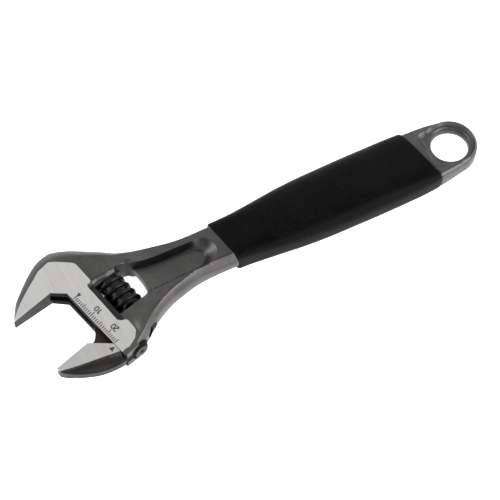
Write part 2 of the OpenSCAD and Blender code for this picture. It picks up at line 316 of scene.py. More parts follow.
def bump(tree, height, strength, depth, after=None):
    node = add(tree, "ShaderNodeBump", Strength=strength, Distance=depth)
    tree.links.new(height, node.inputs["Height"])
    if after is not None:
        tree.links.new(after.outputs["Normal"], node.inputs["Normal"])
    return node


def set_socket(mat, socket, value):
    mat.node_tree.nodes["Principled BSDF"].inputs[socket].default_value = value


def forged_material(name, dark, light, rough, metallic=0.8, grain=1.0):
    """A blasted and phosphated forging: fine grain and faint cloudy stains."""
    mat, tree, shader, coord = nodes_for(name)
    shader.inputs["Metallic"].default_value = metallic
    fine = noise(tree, coord.outputs["Object"], 1700, 4.0, 0.7)
    cloud = noise(tree, coord.outputs["Object"], 60, 5.0, 0.6)
    mix = add(tree, "ShaderNodeMix", data_type="FLOAT", Factor=0.42)
    tree.links.new(cloud.outputs["Fac"], mix.inputs["A"])
    tree.links.new(fine.outputs["Fac"], mix.inputs["B"])
    colour = ramp(tree, mix.outputs["Result"], [(0.4, dark), (0.62, light)])
    tree.links.new(colour.outputs["Color"], shader.inputs["Base Color"])
    roughness = ramp(tree, mix.outputs["Result"], [(0.2, rough - 0.06), (0.8, rough + 0.08)])
    tree.links.new(roughness.outputs["Color"], shader.inputs["Roughness"])
    dents = noise(tree, coord.outputs["Object"], 420, 2.0, 0.5)
    first = bump(tree, dents.outputs["Fac"], 0.25 * grain, 0.00012)
    last = bump(tree, fine.outputs["Fac"], 0.35 * grain, 0.00004, first)
    tree.links.new(last.outputs["Normal"], shader.inputs["Normal"])
    return mat


def ground_material(name, along_x, dark, light, rough=0.4):
    """Surface-ground steel: fine scratches along x or y, a few broader bands and a soft sheen."""
    mat, tree, shader, coord = nodes_for(name)
    shader.inputs["Metallic"].default_value = 0.85
    across, along_it = (110, 4200) if along_x else (4200, 110)
    long_way = mapped(tree, coord, (across, along_it, 110))
    scratch = noise(tree, long_way.outputs["Vector"], 1.0, 3.0, 0.7)
    wide = mapped(tree, coord, (across / 6, along_it / 6, 18))
    band = noise(tree, wide.outputs["Vector"], 1.0, 2.0, 0.5)
    mix = add(tree, "ShaderNodeMix", data_type="FLOAT", Factor=0.5)
    tree.links.new(scratch.outputs["Fac"], mix.inputs["A"])
    tree.links.new(band.outputs["Fac"], mix.inputs["B"])
    colour = ramp(tree, mix.outputs["Result"], [(0.3, dark), (0.7, light)])
    tree.links.new(colour.outputs["Color"], shader.inputs["Base Color"])
    roughness = ramp(tree, scratch.outputs["Fac"], [(0.25, rough - 0.08), (0.75, rough + 0.1)])
    tree.links.new(roughness.outputs["Color"], shader.inputs["Roughness"])
    last = bump(tree, mix.outputs["Result"], 0.18, 0.00003)
    tree.links.new(last.outputs["Normal"], shader.inputs["Normal"])
    return mat


forged = forged_material("forging", (0.05, 0.0485, 0.0475), (0.092, 0.09, 0.088), 0.37)
# Painted shade: near-black, barely glossy steel for the throat walls, the slot and the bores, where shade
# falls.
painted_hollow_shade = forged_material("hollow_painted_shade", (0.006, 0.0055, 0.006), (0.014, 0.013, 0.014), 0.6, 0.0)
set_socket(painted_hollow_shade, "Specular IOR Level", 0.06)
# Painted reflection: dim blue-grey, barely glossy steel standing in for the reflection on the throat wall's
# back half, below the slot.
lip_painted_reflection = forged_material("throat_lip_painted_reflection", (0.018, 0.019, 0.028), (0.03, 0.031, 0.044), 0.5, 0.0)
set_socket(lip_painted_reflection, "Specular IOR Level", 0.15)
# Painted light: the outline walls are a lighter copy of the forging, standing in for the bright floor's
# light on them.
side_steel = forged_material("side_walls_painted_light", (0.07, 0.068, 0.066), (0.12, 0.117, 0.114), 0.4)
# Painted shade: a darker copy of the forging for the panel's crease, the recess beside the ground strip and
# the window's far wall, where shade falls.
painted_crease_shade = forged_material("crease_painted_shade", (0.018, 0.0175, 0.017), (0.04, 0.039, 0.038), 0.42)
# Painted light: the lower neck's and lower head's walls get a lighter copy of the forging, for the light
# that falls on that side.
neck_side_painted_light = forged_material("neck_side_painted_light", (0.065, 0.063, 0.062), (0.12, 0.117, 0.115), 0.36)
ground = ground_material("ground_face", False, (0.43, 0.425, 0.42), (0.55, 0.545, 0.54))
ground_jaw = ground_material("ground_face_jaw", False, (0.38, 0.375, 0.37), (0.5, 0.495, 0.49))
gripping = ground_material("gripping_face", True, (0.014, 0.0137, 0.0135), (0.026, 0.0257, 0.0253), 0.42)

# ---- body ----

# Rows are [m or x, n or y, width of the draft, half height of the rim].
UPPER_HEAD = [
    [22.9, -0.5, 0.2, 2.0], [17.6, -6.3, 2.1, 2.0], [12.4, -9.7, 2.9, 2.0], [7.9, -12.3, 3.6, 2.0],
    [3.8, -14.3, 3.8, 2.0], [-0.3, -15.6, 3.9, 2.0], [-4.5, -15.8, 4.3, 2.0], [-7.9, -14.9, 4.4, 2.0],
    [-13.8, -10.7, 4.4, 2.0], [-19.5, -5.1, 3.8, 2.0], [-25.9, 1.1, 3.0, 2.0]]
UPPER_NECK = [
    [141.5, -13.4, 2.4, 2.0], [137, -12.0, 2.0, 2.0], [131, -10.6, 1.8, 2.2], [124.8, -9.5, 1.8, 2.4],
    [118, -9.1, 1.8, 2.6], [108.4, -9.3, 1.8, 2.6]]
CORE_X = [96, 87.6, 75, 60, 40]
CORE_W = [9.0, 10.0, 11.5, 12.3, 12.4]
LOWER_NECK = [
    [103.6, 10.4, 2.6, 1.9], [112, 10.2, 2.5, 2.2], [118.8, 10.3, 2.2, 2.6], [123.5, 10.8, 1.9, 3.0],
    [128.5, 12, 1.7, 3.2], [133.7, 13.6, 1.7, 3.2], [139.3, 16.2, 1.7, 3.2], [143.6, 18.9, 1.7, 3.1]]
LOWER_HEAD = [[-17.0, 37.2, 1.7, 3.0], [-13, 39.2, 1.7, 2.8], [-8.0, 41.1, 1.6, 2.6]]
RING_R, HOLE_R, HOLE_ROUND = 11.5, 7.7, 1.9

core_rows = [[x, HANDLE_Y - w, 5.5, 2.0] for x, w in zip([107.6] + CORE_X + [16.8], [8.5] + CORE_W + [11.6])]
core_back = [[x, HANDLE_Y + w, 5.5, 2.0] for x, w in zip([103.7] + CORE_X + [11.8], [8.5] + CORE_W + [11.5])]
core_back = core_back[::-1]
ring_rows = [[17.0, -12.7, 1.2, 3.4], [11.7, -12.6, 1.2, 3.3], [6.5, -12.4, 1.1, 3.2]]
ring_rows += [[RING_R * math.cos(math.radians(a)), RING_R * math.sin(math.radians(a)), 1.0, 3.1]
              for a in np.arange(262, 97, -4.0)]
ring_rows += [[5.5, 12.6, 1.2, 3.2], [10.9, 13.2, 1.2, 3.6]]
edges_upper = np.vstack([smooth(from_jaw(UPPER_HEAD), 8), smooth(UPPER_NECK, 8)])
edges_lower = np.vstack([smooth(LOWER_NECK, 8), smooth(from_jaw(LOWER_HEAD), 8)])
drafted = np.vstack([edges_upper, core_rows, ring_rows, core_back, edges_lower])
jaw_side = from_jaw([[-0.6, 41.4, 0, 0], [0, 40.8, 0, 0], [0, 4.8, 0, 0], [4.8, 0, 0, 0], [22.6, 0, 0, 0],
                     [22.9, -0.2, 0, 0]])
body_outline = divide(np.vstack([drafted, jaw_side]), 0.55, True)
keep_x = np.ones(len(body_outline), bool)
covered = (body_outline[:, 0] > 22) & (body_outline[:, 0] < 99)
keep_x[covered] = (np.arange(covered.sum()) % 5) == 0
body_outline = body_outline[keep_x]

WINDOW = np.vstack([
    [[-9.9, 9.9, 0, 0], [-9.9, 25.7, 0, 0], [-10.2, 26.0, 0, 0]],
    smooth([[-22.6, 26.0, 0, 0], [-24.6, 25.2, 0, 0], [-25.9, 23.2, 0, 0], [-26.9, 20, 0, 0],
            [-27.4, 16, 0, 0], [-27.3, 12.6, 0, 0], [-26.6, 10.3, 0, 0], [-25.4, 9.6, 0, 0]], 4),
    [[-10.2, 9.6, 0, 0]]])
window = divide(from_jaw(WINDOW), 0.55, True)
hole = np.array([[HOLE_R * math.cos(a), HOLE_R * math.sin(a)] for a in np.linspace(0, 2 * math.pi, 97)[:-1]])

# The ground land: its upper side follows the draft, the rest is milled to these lines.
draw = smooth(from_jaw(UPPER_HEAD[:7]), 8)
along = np.gradient(draw[:, :2], axis=0)
along /= np.linalg.norm(along, axis=1)[:, None]
land_top = (draw[:, :2] + np.stack([-along[:, 1], along[:, 0]], 1) * -draw[:, 2:3])[:33]
land_rest = from_jaw([
    [-3.0, -11.2], [-5.3, -9.3], [-7.9, -6.5], [-10.1, -4.0], [-10.6, -2.7], [-10.5, 2.2], [-10.4, 6.5],
    [-10.1, 7.2], [-9.4, 7.5], [-8.2, 7.5], [-7.8, 8.1], [-7.6, 18], [-7.3, 27.3], [-8.2, 28.6],
    [-10.0, 29.6], [-10.3, 30.6], [-10.2, 34.1], [-9.9, 35.7], [-7.4, 38.1], [-3.8, 39.3], [0.7, 38.9]])
land = np.vstack([land_top, land_rest, from_jaw([[0.6, 4.8], [4.8, 0.4], [23.5, 0.4]])])
land_line = np.vstack([land_top[1:], land_rest[:-1]])

RECESS_EDGE = from_jaw([[-7.3, 27.3], [-7.6, 18], [-7.8, 8.1]])
RECESS_LOBE = from_jaw([[-7.3, 27.3], [-8.2, 28.6], [-10.0, 29.6], [-10.3, 30.6],
                         [-10.2, 34.1], [-9.9, 35.7]])
RECESS_BAND = from_jaw([[-7.8, 7.4], [-9.5, 7.4], [-12.5, 7.2], [-16.5, 8.2], [-21.5, 8.6], [-28.5, 8.9]])
RECESS_FADE = from_jaw([[-28.5, 8.9], [-31, 16], [-30, 25], [-24, 30.5], [-17, 32.5],
                         [-14.2, 34.5], [-12, 38]])
recess = np.vstack([RECESS_BAND, RECESS_FADE[1:], RECESS_LOBE[::-1], RECESS_EDGE[1:]])

PANEL_TOP = np.array([[150.5, -7.7], [147, -7.6], [144, -6.7], [140.5, -5.6], [135.7, -4.75],
                      [125, -4.5], [118.3, -4.4]])
PANEL_LOW = np.array([[116, 7.6], [125, 7.8], [135, 8.1], [141.7, 8.4], [148, 9.6]])
bowl = [[115.5 + 6.0 * math.cos(math.radians(a)), 1.6 + 6.0 * math.sin(math.radians(a))]
        for a in np.arange(-92, -269, -6.0)]
panel_edge = np.vstack([smooth(PANEL_TOP, 4), bowl, smooth(PANEL_LOW, 4)])
panel_line = divide(panel_edge, 0.55)

DISH = np.vstack([[[10.9, -8.7], [5.67, -9.7], [-0.66, -10.5]],
                  [[10.5 * math.cos(math.radians(a)), 10.5 * math.sin(math.radians(a))]
                   for a in np.arange(-98, -263, -6.0)],
                  [[5.67, 9.8], [10.2, 9.2], [11.3, 8.2], [11.6, 0], [11.7, -7.4]]])


def body_height(p):
    x, y = p[:, 0], p[:, 1]
    m, n = to_jaw(x, y)
    thick = np.interp(x, [-20, 0, 12.5, 20, 60, 101, 106, 116, 124, 230],
                      [4.0, 4.2, 5.1, 4.9, 6.0, 5.2, 5.8, 6.0, 6.2, 6.2])
    ground_z = 2.55 + math.tan(math.radians(5.8)) * (REACH - m)
    top = np.where(x > 130, soft_min(thick, ground_z, 0.02), thick)
    gap, carried = np.full(len(p), 9.0), np.ones((len(p), 2))
    slanted = x + SLANT * y
    front, back = slanted > 105.9, slanted < 14.3
    for where, edges in ((front, (edges_upper, edges_lower)), (back, (ring_rows,)),
                         (~front & ~back, (core_rows, core_back))):
        for edge in edges:
            g, c = distance(p[where], edge, values=[2, 3])
            nearer = g < gap[where]
            gap[where] = np.where(nearer, g, gap[where])
            carried[where] = np.where(nearer[:, None], c, carried[where])
    width, rim = np.maximum(carried[:, 0], 0.15), carried[:, 1]
    rim = np.minimum(rim, top - 0.25)
    share = gap / width
    rounding = np.where(x > 148, 0.03, np.where(x > 100, 0.12, 0.35))
    ramp_up = soft_min(share, np.ones_like(share), rounding) + rounding / 4
    bulge = np.sqrt(np.clip(1 - (1 - np.clip(share, 0, 1)) ** 2, 0, 1))
    full = np.where((n < 2) & (x > 145), step01((x - 145) / 8) * 0.6, 0)
    h = rim + (top - rim) * (ramp_up * (1 - full) + bulge * full)
    corner = np.where((n > 9) & (x > 101) | (x < 20), 0.8, 0.45)
    h = np.minimum(h, top) - 0.7 * corner * np.clip(1 - gap / corner, 0, 1) ** 2
    # Lower ground around the worm's window
    in_recess = inside(p, recess)
    edge = np.minimum(distance(p, RECESS_EDGE), distance(p, RECESS_LOBE))
    depth = np.minimum(np.clip(edge / 0.3, 0, 1), np.clip(distance(p, RECESS_BAND) / 1.3, 0, 1))
    depth = depth * step01(distance(p, RECESS_FADE) / 4.5)
    h = h - np.where(in_recess, (1.0 + 0.5 * (1 - step01((n - 9.3) / 2))) * depth, 0)
    # Panel between the neck's rails, with a scooped end
    d_panel = distance(p, panel_edge)
    run = 0.55 + 6.0 * np.clip((121.5 - x) / 8.5, 0, 1) ** 1.6
    fall = np.clip(1 - d_panel / run, 0, 1)
    floor = np.minimum(2.1, h)
    h = np.where(inside(p, panel_edge), floor + (h - floor) * fall ** 1.25, h)
    # The lower rail's inner edge is rounded
    d_low = distance(p, PANEL_LOW)
    h = h - np.where(inside(p, panel_edge), 0, 0.35 * np.clip(1 - d_low / 0.7, 0, 1) ** 2)
    # Dished face around the hanging hole
    d_dish = distance(p, DISH, True)
    run = 0.7 + 2.4 * step01((x - 5.5) / 4)
    low = np.minimum(2.9, h)
    fall = np.clip(1 - d_dish / run, 0, 1)
    h = np.where(inside(p, DISH), low + (h - low) * fall * (0.4 + 0.6 * fall), h)
    # Broken edges where the steel meets the sleeve
    h = h - 0.45 * np.clip(1 - np.abs(slanted - 105.9) / 0.45, 0, 1) * front
    h = h - 0.45 * np.clip(1 - np.abs(slanted - 14.3) / 0.45, 0, 1) * back
    t = np.hypot(x, y) - HOLE_R
    torus = np.sqrt(np.maximum(HOLE_ROUND ** 2 - np.maximum(HOLE_ROUND - t, 0) ** 2, 0))
    torus = torus * 3.0 / HOLE_ROUND + np.clip(t - HOLE_ROUND, 0, 40) * 3
    return np.where(np.hypot(x, y) < 13, np.maximum(soft_min(h, torus, 0.25), 0) * (t > 1e-4), h)


grid = bounds_grid(body_outline, 0.55)
grid = grid[(grid[:, 0] < 22) | (grid[:, 0] > 99)]
grid = np.vstack([grid, hex_grid([23, -12], [98.5, 12.5], 3.0)])
fill = grid[inside(grid, body_outline)]
fill = fill[distance(fill, body_outline, True) > 0.3]
fill = fill[distance(fill, window, True) > 0.35]
fill = fill[np.hypot(fill[:, 0], fill[:, 1]) > 12.0]
rings = [HOLE_R + HOLE_ROUND * (1 - math.cos(a)) for a in np.linspace(0.12, math.pi / 2, 9)]
rings += [11.05, 11.3]
ring_points = np.array([[r * math.cos(a), r * math.sin(a)] for r in rings
                        for a in np.linspace(0, 2 * math.pi, 97)[:-1]])
near_ring = grid[(np.hypot(grid[:, 0], grid[:, 1]) > 11.4) & (np.hypot(grid[:, 0], grid[:, 1]) <= 12.0)]
ring_points = np.vstack([ring_points, near_ring])
ring_points = ring_points[inside(ring_points, body_outline)]
ring_points = ring_points[distance(ring_points, body_outline, True) > 0.12]
fill = fill[distance(fill, np.vstack([RECESS_EDGE, RECESS_LOBE])) > 0.25]
fill = fill[distance(fill, panel_edge) > 0.3]


def beside(line, gap):
    """Points on both sides of a line, so that a step beside it stays crisp."""
    p = divide(line, 0.55)[:, :2]
    d = np.gradient(p, axis=0)
    d /= np.linalg.norm(d, axis=1)[:, None]
    side = np.stack([-d[:, 1], d[:, 0]], 1) * gap
    q = np.vstack([p + side, p - side])
    return q[inside(q, body_outline)]


crisp = np.vstack([beside(RECESS_EDGE, 0.3), beside(RECESS_LOBE, 0.3), beside(panel_edge, 0.55),
                   beside(panel_edge, 0.25)])
crisp = crisp[(distance(crisp, body_outline, True) > 0.2) & (distance(crisp, window, True) > 0.2)]
crisp = crisp[~inside(crisp, window)]
fill = fill[~inside(fill, window)]
fill = np.vstack([fill, ring_points, crisp])
land_edge = divide(land_line, 0.55)
land_edge = land_edge[inside(land_edge, body_outline) & (distance(land_edge, body_outline, True) > 0.05)]


def body_mark(mid):
    marks = np.zeros(len(mid), int)
    marks[inside(mid, land)] = 1
    # Painted shade (index 7): the panel's floor and walls along its edge, the lower rail's inner edge, and
    # the recess floor beside the ground strip.
    along_panel = (mid[:, 0] > 117) & (mid[:, 0] < 145) & (distance(mid, panel_edge) < 0.95)
    corner = inside(mid, panel_edge) & along_panel
    corner |= (distance(mid, PANEL_LOW) < 0.5) & (mid[:, 0] < 143)
    beside_strip = inside(mid, recess) & (distance(mid, RECESS_EDGE) < 2.6) & (marks == 0)
    marks[corner | beside_strip] = 7
    return marks


def body_walls(mid):
    m, n = to_jaw(mid[:, 0], mid[:, 1])
    # Walls default to the lighter side steel (painted light); the upper neck's walls keep the forging and
    # the lower edge's walls get the lighter neck steel (painted light).
    marks = np.full(len(mid), 2)
    throat = (mid[:, 0] > 150) & (np.abs(m) < 0.5) & (n > 4.5)
    corner = (mid[:, 0] > 150) & (m > -0.2) & (m < 5.0) & (n > -0.2) & (n < 5)
    grip = (mid[:, 0] > 150) & (m >= 4.9) & (np.abs(n) < 0.3)
    marks[(mid[:, 0] > 100) & (distance(mid, edges_upper) < 0.1)] = 0
    marks[(mid[:, 0] > 100) & (distance(mid, edges_lower) < 0.1)] = 6
    # Painted shade (index 3) on the throat walls and their corner.
    marks[throat | corner] = 3
    marks[grip] = 4
    in_window = distance(mid, window, True) < 0.1
    marks[in_window] = 0
    # Painted shade (index 7) on the window's far wall.
    marks[in_window & (m < -20.5) & (n < 13)] = 7
    return marks


ends = []
for at in (105.95, 106.4, 14.25, 13.8):
    y = np.arange(-9.2, 10.2, 0.5) if at > 50 else np.arange(-12.2, 12.8, 0.5)
    ends.append(np.stack([at - SLANT * y, y], 1))
dish_line = divide(DISH, 0.5, True)
dish_line = dish_line[distance(dish_line, body_outline, True) > 0.2]
panel_in = panel_line[inside(panel_line, body_outline) & ~inside(panel_line, window)]
panel_in = panel_in[distance(panel_in, window, True) > 0.2]
inner_lines = [(edge, False) for edge in [land_edge, panel_in] + ends]
body = slab_mesh("wrench_body", body_outline, [window, hole], inner_lines, np.vstack([fill, dish_line]),
                 body_height, body_mark, body_walls, CREASE)
for steel in (forged, ground, side_steel, painted_hollow_shade, gripping, lip_painted_reflection, neck_side_painted_light, painted_crease_shade):
    body.data.materials.append(steel)

boolean(body, rod("cut", RACK_M, -11.9, 57, 4.48, 72), "DIFFERENCE")
slot = from_jaw([[RACK_M, -6.6], [0.3, -6.6], [5.8, 0.6], [5.8, 6], [1, 8], [1, 60], [RACK_M, 60]])
boolean(body, prism("cut", slot, -1.85, 1.85), "DIFFERENCE")
boolean(body, rod("cut", WORM_M, 5.4, 55, 1.5, 40), "DIFFERENCE")
boolean(body, rod("cut", WORM_M, 34.6, 55, 3.0, 48), "DIFFERENCE")
tidy(body, CREASE)
centres = np.array([tuple(poly.center) for poly in body.data.polygons]) / MM
on_skin = distance(centres, body_outline, True) < 0.1
for poly, outer in zip(body.data.polygons, on_skin):
    c = poly.center / MM
    if outer and abs(poly.normal.z) < 0.3 and abs(c.y) < 30 and to_jaw(c.x, c.y)[1] < 30:
        continue
    m, n = to_jaw(c.x, c.y)
    facing = poly.normal.x * COS * (m - RACK_M) + poly.normal.y * SIN * (m - RACK_M) + poly.normal.z * c.z
    axis_gap = math.hypot(m - RACK_M, c.z) if facing < 0 or m > -7 and n > 30 else 9
    pin_gap = math.hypot(m - WORM_M, c.z)
    in_bore = c.x > 140 and (axis_gap < 4.6 or pin_gap < 3.05 and n > 30)
    # Painted shade (index 3) in the rack's and pin's bores and on the slot's faces.
    if in_bore or abs(c.z) < 1.86 and m < 5.7 and c.x > 155:
        if abs(poly.normal.z) > 0.9 or axis_gap < 4.6 or pin_gap < 3.05:
            poly.material_index = 3
    # Painted reflection (index 5) on the throat wall's back half, below the slot.
    if c.x > 155 and c.z < -1.8 and -0.1 < m < 5 and n < 34 and abs(poly.normal.z) < 0.3 and m * n < 7:
        poly.material_index = 5
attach(body, "frame")
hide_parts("body")

# ---- movable jaw ----

def jaw_frame(points):
    p = np.array(points, float)
    p[:, 1] += OPENING
    return from_jaw(p)


JAW_OUTER = smooth([[0.25, 14.9], [2, 14.8], [5.8, 14.0], [10.8, 12.2], [16.2, 8.8], [21.0, 4.6],
                    [22.6, 2.4]], 6)
jaw_outline = divide(jaw_frame(np.vstack([
    [[22.9, 0.2], [22.7, 0], [7.45, 0], [0.25, 7.2]], JAW_OUTER, [[22.9, 1.8]]])), 0.5, True)
JAW_LAND = [[22.6, 1.9], [20.8, 2.75], [15.4, 5.2], [7.9, 8.3], [0.25, 11.5]]
jaw_land_line = jaw_frame(JAW_LAND)
jaw_land = np.vstack([jaw_frame([[23.5, -0.5], [7.2, -0.5], [-0.5, 7.2], [-0.5, 11.8]]), jaw_land_line[::-1],
                      jaw_frame([[23.5, 1.5]])])


def jaw_height(p):
    m, n = to_jaw(p[:, 0], p[:, 1])
    top = 2.55 + math.tan(math.radians(5.8)) * (REACH - m)
    past = np.where(inside(p, jaw_land), 0, distance(p, jaw_land_line))
    width = np.interp(m, [0, 6, 12, 18, 21], [3.4, 4.6, 4.4, 3.2, 2.2])
    u = np.clip(past / width, 0, 1)
    scoop = np.where(past > 0, np.clip(1 - past / 0.35, 0, 1) * 0.42 + 0.58 * (1 - u) ** 2.6, 1)
    solid = step01((m - 19.2) / 2.2)
    flange = 1.8 + 0 * m
    rim = top - 0.55 * step01(past / 1.5)
    h = flange + (top - flange) * scoop
    h = h * (1 - solid) + rim * solid
    near = distance(p, jaw_outer_line)
    return h - 0.2 * np.clip(1 - near / 0.4, 0, 1) ** 2


jaw_outer_line = jaw_frame(np.vstack([JAW_OUTER, [[22.9, 1.8], [22.9, 0.2]]]))
grid = bounds_grid(jaw_outline, 0.45)
fill = grid[inside(grid, jaw_outline)]
fill = fill[(distance(fill, jaw_outline, True) > 0.25) & (distance(fill, jaw_land_line) > 0.22)]


def jaw_beside(gap):
    p = divide(jaw_land_line, 0.5)[:, :2]
    d = np.gradient(p, axis=0)
    d /= np.linalg.norm(d, axis=1)[:, None]
    q = p + np.stack([-d[:, 1], d[:, 0]], 1) * gap
    return q[inside(q, jaw_outline) & (distance(q, jaw_outline, True) > 0.15)]


fill = np.vstack([fill, jaw_beside(0.35), jaw_beside(-0.35)])
land_cut = divide(jaw_land_line, 0.5)[:, :2]
land_cut = land_cut[inside(land_cut, jaw_outline) & (distance(land_cut, jaw_outline, True) > 0.02)]


def jaw_mark(mid):
    marks = np.full(len(mid), 1)
    marks[inside(mid, jaw_land)] = 0
    return marks


def jaw_walls(mid):
    m, n = to_jaw(mid[:, 0], mid[:, 1])
    n = n - OPENING
    marks = np.full(len(mid), 2)
    marks[(n < 0.3) | (m - 7.45 < -(n) + 0.3) & (n < 7.3)] = 3
    marks[(m < 0.5) & (n > 7.1)] = 1
    return marks


jaw_side_steel = forged_material("jaw_side", (0.018, 0.017, 0.0165), (0.04, 0.039, 0.038), 0.42)
jaw = slab_mesh("sliding_jaw", jaw_outline, [], [(land_cut, False)], fill,
                jaw_height, jaw_mark, jaw_walls, CREASE)
scoop_steel = forged_material("jaw_scoop", (0.016, 0.0145, 0.014), (0.036, 0.033, 0.031), 0.36, 0.6)
for steel in (ground_jaw, scoop_steel, jaw_side_steel, gripping):
    jaw.data.materials.append(steel)
web = jaw_frame([[RACK_M, -6.0], [-0.3, -6.0], [0.8, -4.0], [2.2, -1.9], [3.3, -0.8], [4.4, 0.1], [9, 1],
                 [9, 9], [2, 14.4], [RACK_M, 14.4]])
boolean(jaw, prism("web", web, -1.6, 1.6), "UNION")
rack = rod("rack", RACK_M, 0, 0, 0, 72, [
    [OPENING - 11.5, 3.9], [OPENING - 11.0, 4.4], [OPENING + 13.0, 4.4], [OPENING + 14.2, 3.7],
    [OPENING + 15.3, 3.0]])
LEAD = math.atan(PITCH / (math.pi * 12 * 0.87))
tip_m, root_m = RACK_M - 4.4, RACK_M - 4.4 + 1.7
for k in range(1, 10):
    profile = [[tip_m - 1, 1.55], [tip_m - 1, -1.55], [tip_m, -1.2],
               [root_m, -0.65], [root_m, 0.65], [tip_m, 1.2]]
    at_n = THREAD_N0 + PITCH * k
    verts = []
    for z in (-7, 7):
        for m, n in profile:
            verts.append((m, at_n + n * math.cos(LEAD) - z * math.sin(LEAD),
                          n * math.sin(LEAD) + z * math.cos(LEAD)))
    count = len(profile)
    faces = [tuple(range(count))[::-1], tuple(range(count, 2 * count))]
    faces += [(i, (i + 1) % count, count + (i + 1) % count, count + i) for i in range(count)]
    boolean(rack, new_object("groove", from_jaw(np.array(verts)), faces), "DIFFERENCE")
dimple = rod("dimple", RACK_M, 0, 0, 0, 32, [[OPENING + 14.1, 0.05], [OPENING + 15.4, 1.0]])
boolean(rack, dimple, "DIFFERENCE")
boolean(jaw, rack, "UNION")
tidy(jaw, CREASE)
# Painted shade: the rack is near-black and barely glossy so the clearance round it in its bore reads as
# shade.
rack_painted_shade = forged_material("rack_painted_shade", (0.004, 0.0035, 0.003), (0.011, 0.01, 0.009), 0.55, 0.1)
end_steel = ground_material("rack_end", True, (0.02, 0.0195, 0.019), (0.045, 0.044, 0.043), 0.4)
set_socket(rack_painted_shade, "Specular IOR Level", 0.07)
jaw.data.materials.append(rack_painted_shade)
jaw.data.materials.append(end_steel)
web_steel = forged_material("web_steel", (0.012, 0.008, 0.007), (0.028, 0.018, 0.016), 0.45, 0.5)
jaw.data.materials.append(web_steel)
for poly in jaw.data.polygons:
    c = poly.center / MM
    m, n = to_jaw(c.x, c.y)
    # Rack faces in the bore get the near-black painted-shade steel (index 4).
    if m < -2.7 and math.hypot(m - RACK_M, c.z) < 4.45:
        poly.material_index = 5 if n - OPENING > 15.2 else 4
    elif m < 0.24 or abs(abs(c.z) - 1.6) < 0.02 and abs(poly.normal.z) > 0.9:
        poly.material_index = 6
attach(jaw, "jaw")
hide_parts("movable_jaw")

# ---- worm ----

AROUND, ALONG = 112, 150
verts, faces = [], []
for i in range(ALONG + 1):
    n = WORM_LEN * i / ALONG
    end = min(n, WORM_LEN - n)
    for k in range(AROUND):
        a = 2 * math.pi * k / AROUND
        phase = ((n + WORM_N0 - THREAD_N0) / PITCH - a / (2 * math.pi)) % 1.0
        away = min(phase, 1 - phase) * PITCH
        ridge = 1 / (1 + math.exp((away - 0.98) / 0.12))
        crown = 1 - 0.5 * (min(away, 1.1) / 1.1) ** 2
        r = 4.65 + 1.35 * ridge * crown
        r = min(r, 5.55 + min(end, 0.45))
        verts.append((WORM_M + r * math.cos(a), WORM_N0 + n, r * math.sin(a)))
for i in range(ALONG):
    for k in range(AROUND):
        j = (k + 1) % AROUND
        faces.append((i * AROUND + k, i * AROUND + j, (i + 1) * AROUND + j, (i + 1) * AROUND + k))
bore = len(verts)
for i, n in ((0, 0.0), (1, WORM_LEN)):
    for k in range(AROUND):
        a = 2 * math.pi * k / AROUND
        verts.append((WORM_M + 1.58 * math.cos(a), WORM_N0 + n, 1.58 * math.sin(a)))
for k in range(AROUND):
    j = (k + 1) % AROUND
    faces.append((bore + k, bore + j, j, k))
    faces.append((bore + AROUND + j, bore + AROUND + k, bore + k, bore + j)[::-1])
    last = ALONG * AROUND
    faces.append((last + k, last + j, bore + AROUND + j, bore + AROUND + k))
worm = new_object("thumb_worm", from_jaw(np.array(verts)), faces, sharp=55)
boolean(worm, rod("pocket", WORM_M, WORM_N0 + WORM_LEN - 3.6, WORM_N0 + WORM_LEN + 5, 2.6, 48), "DIFFERENCE")
tidy(worm, 55)
worm_mat, tree, shader, coord = nodes_for("blackened_worm")
shader.inputs["Metallic"].default_value = 0.0
shader.inputs["Specular IOR Level"].default_value = 0.16
shader.inputs["Coat Weight"].default_value = 0.07
shader.inputs["Coat Roughness"].default_value = 0.12
spots = noise(tree, coord.outputs["Object"], 900, 4.0, 0.6)
colour = ramp(tree, spots.outputs["Fac"], [(0.35, (0.0025, 0.002, 0.002)), (0.75, (0.009, 0.007, 0.0065))])
tree.links.new(colour.outputs["Color"], shader.inputs["Base Color"])
rough = ramp(tree, spots.outputs["Fac"], [(0.3, 0.2), (0.8, 0.32)])
tree.links.new(rough.outputs["Color"], shader.inputs["Roughness"])
tree.links.new(bump(tree, spots.outputs["Fac"], 0.2, 0.00006).outputs["Normal"], shader.inputs["Normal"])
worm.data.materials.append(worm_mat)
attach(worm, "worm")
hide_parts("worm")

# Painted shade: the pin is near-black and unglossy so its head reads dark down in its hole.
pin_painted_shade = forged_material("pin_steel", (0.004, 0.0038, 0.0038), (0.012, 0.011, 0.011), 0.5, 0.2, 0.5)
set_socket(pin_painted_shade, "Specular IOR Level", 0.06)
set_socket(pin_painted_shade, "Coat Weight", 0.0)
spring_mat = ground_material("spring_wire", False, (0.16, 0.16, 0.165), (0.26, 0.26, 0.27), 0.32)
for node, mat in (("worm_pin", pin_painted_shade), ("worm_spring", spring_mat)):
    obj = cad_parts[node]
    obj.data.materials.clear()
    obj.data.materials.append(mat)

# ---- sleeve ----

SLEEVE = smooth([
    [4, 12.4, 5.6], [12, 13.2, 6.4], [19, 13.8, 7.2], [28, 14.1, 8.0], [40, 14.2, 8.6], [50, 14.2, 8.7],
    [63, 14.0, 8.5], [75, 13.3, 8.0], [87.6, 11.9, 7.3], [97, 10.8, 6.8], [104, 10.4, 6.5],
    [116, 10.0, 6.2]], 6)
SIDES = 128


